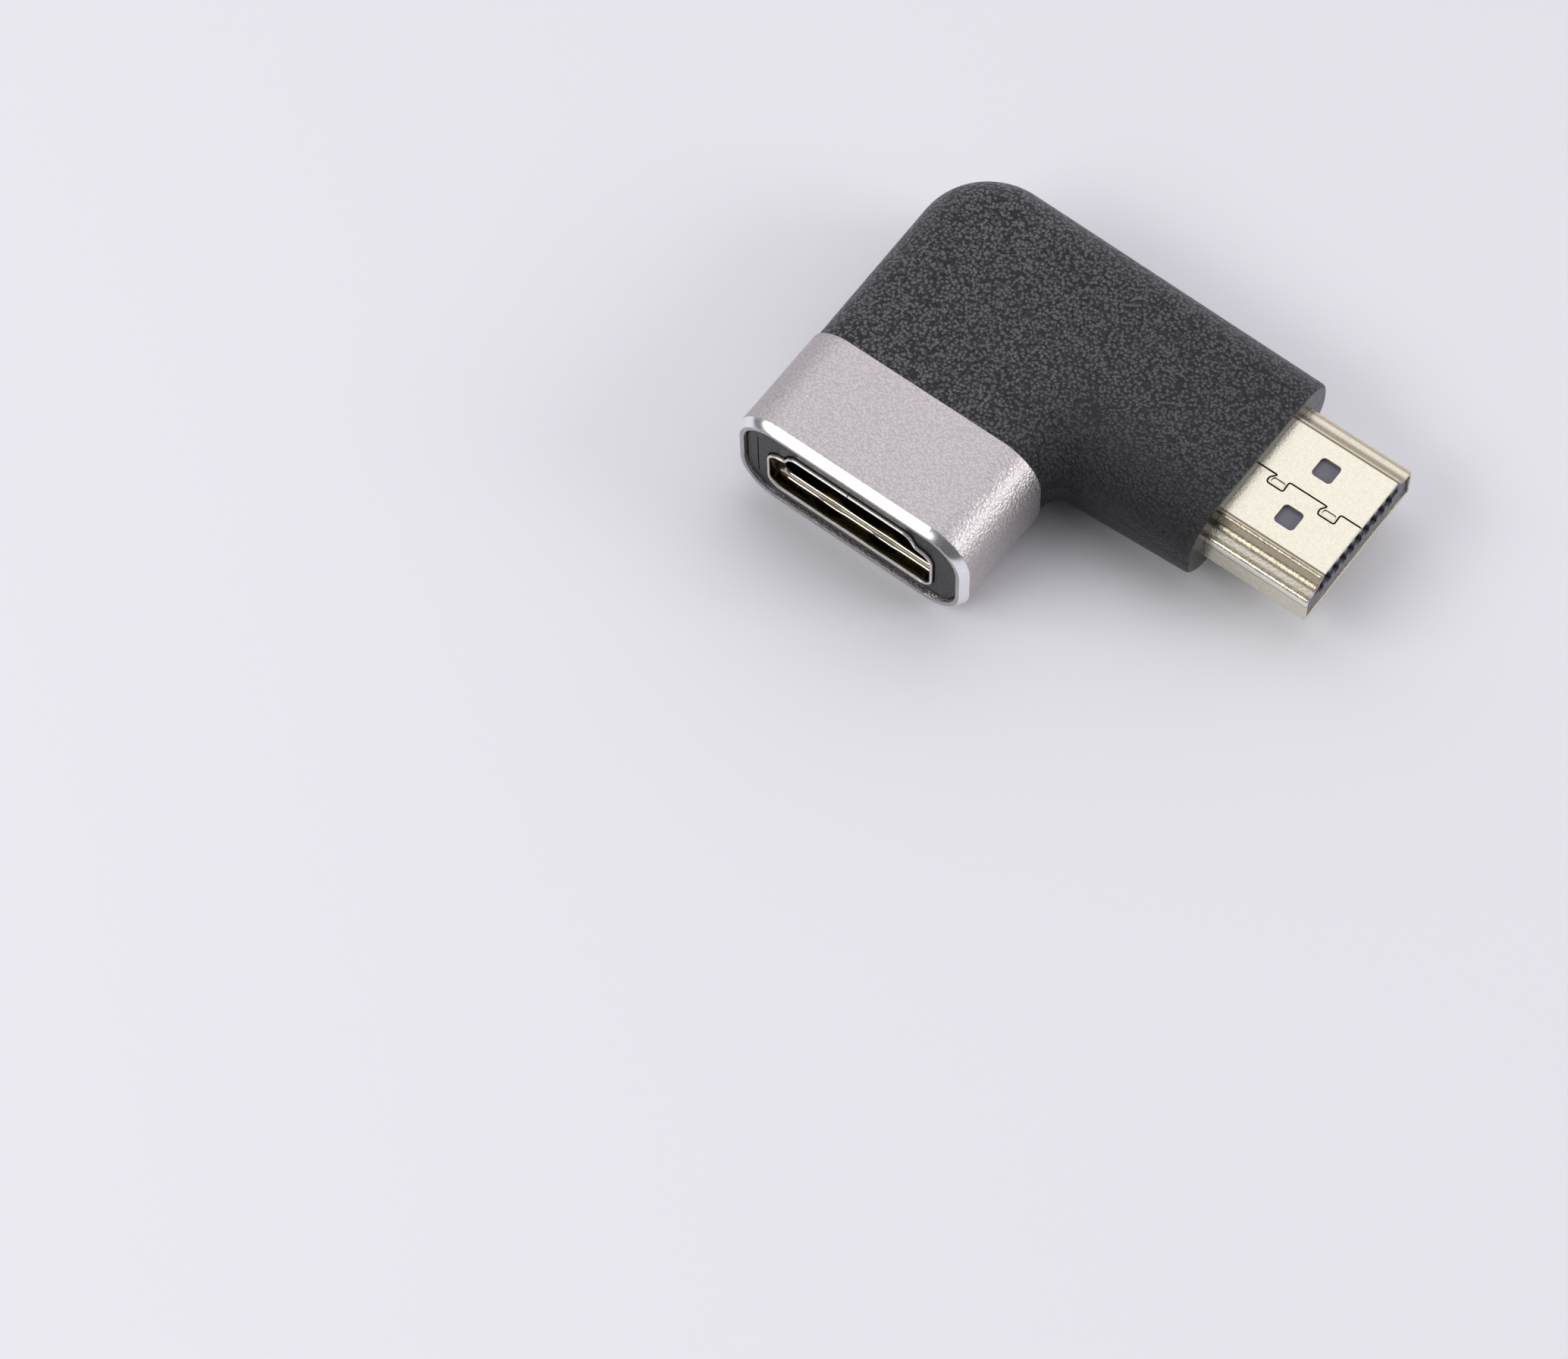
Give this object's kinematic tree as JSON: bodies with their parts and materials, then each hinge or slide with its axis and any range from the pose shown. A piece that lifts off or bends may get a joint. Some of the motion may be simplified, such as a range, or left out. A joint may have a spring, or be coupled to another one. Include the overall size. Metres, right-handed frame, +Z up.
{
  "type": "right angle hdmi adapter",
  "caption": "L-shaped video adapter with a plug at the end of one arm and a socket in a metal sleeve at the end of the other, at right angles",
  "frame": {"origin": "on the resting face, straight below the point where the plug's axis and the socket's axis cross", "axes": "+X out of the plug's nose, -Y out of the socket's mouth, +Z up from the face it lies on"},
  "size_m": [0.0425, 0.0302, 0.0104],
  "materials": {
    "black_plastic_upper": "moulded with a fine leathery grain, satin",
    "black_plastic_lower": "moulded, smooth to lightly grained",
    "blasted_aluminium": "bead blasted and anodised pinkish silver, with a polished chamfer at the mouth",
    "nose_plastic": "smooth moulded dark grey",
    "board": "green circuit board",
    "champagne_plate": "pale champagne gold plating with a fine satin grain",
    "insulator_plastic": "blue-grey moulded",
    "socket_plate": "bright plated sheet",
    "tongue_plastic": "black moulded",
    "contact_gold": "gold plated"
  },
  "bodies": {
    "root": {"upper_housing": "black_plastic_upper", "lower_housing": "black_plastic_lower", "metal_sleeve": "blasted_aluminium", "socket_nose": "nose_plastic", "circuit_board": "board", "plug_shell": "champagne_plate", "plug_insulator": "insulator_plastic", "socket_shell": "socket_plate", "socket_insulator": "tongue_plastic", "plug_contact_01": "contact_gold", "plug_contact_02": "contact_gold", "plug_contact_03": "contact_gold", "plug_contact_04": "contact_gold", "plug_contact_05": "contact_gold", "plug_contact_06": "contact_gold", "plug_contact_07": "contact_gold", "plug_contact_08": "contact_gold", "plug_contact_09": "contact_gold", "plug_contact_10": "contact_gold", "plug_contact_11": "contact_gold", "plug_contact_12": "contact_gold", "plug_contact_13": "contact_gold", "plug_contact_14": "contact_gold", "plug_contact_15": "contact_gold", "plug_contact_16": "contact_gold", "plug_contact_17": "contact_gold", "plug_contact_18": "contact_gold", "plug_contact_19": "contact_gold", "socket_contact_01": "contact_gold", "socket_contact_02": "contact_gold", "socket_contact_03": "contact_gold", "socket_contact_04": "contact_gold", "socket_contact_05": "contact_gold", "socket_contact_06": "contact_gold", "socket_contact_07": "contact_gold", "socket_contact_08": "contact_gold", "socket_contact_09": "contact_gold", "socket_contact_10": "contact_gold", "socket_contact_11": "contact_gold", "socket_contact_12": "contact_gold", "socket_contact_13": "contact_gold", "socket_contact_14": "contact_gold", "socket_contact_15": "contact_gold", "socket_contact_16": "contact_gold", "socket_contact_17": "contact_gold", "socket_contact_18": "contact_gold", "socket_contact_19": "contact_gold"}
  },
  "joints": []
}
